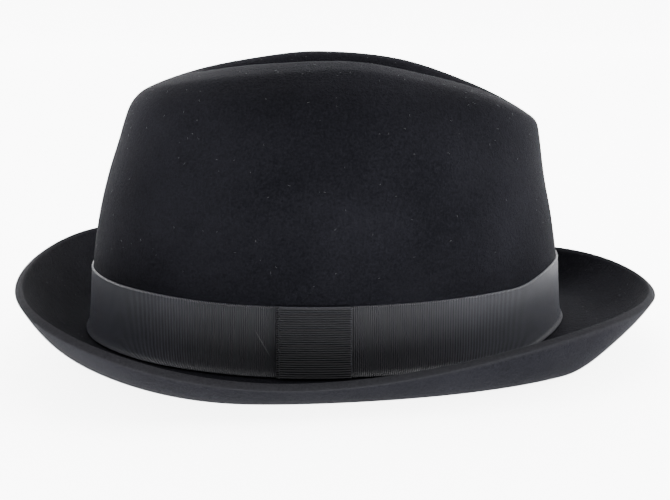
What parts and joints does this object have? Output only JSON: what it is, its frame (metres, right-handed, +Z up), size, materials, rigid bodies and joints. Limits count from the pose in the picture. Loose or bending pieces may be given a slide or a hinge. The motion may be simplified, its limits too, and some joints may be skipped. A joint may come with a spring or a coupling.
{
  "type": "fedora hat",
  "caption": "Dark felt fedora with a centre-dent crown, a brim rolled up all round, a wide grosgrain band and a flat ribbon keeper.",
  "frame": {"origin": "under the middle of the hat's bounding box, on the surface that the brim rests on", "axes": "-X towards the front of the hat, +Z up, -Y towards the side with the keeper"},
  "size_m": [0.2746, 0.2358, 0.1227],
  "materials": {
    "felt": "matt, brushed nap",
    "ribbon": "satin, ribbed"
  },
  "bodies": {
    "root": {"felt_body": "felt", "hat_band": "ribbon", "band_keeper": "ribbon"}
  },
  "joints": []
}
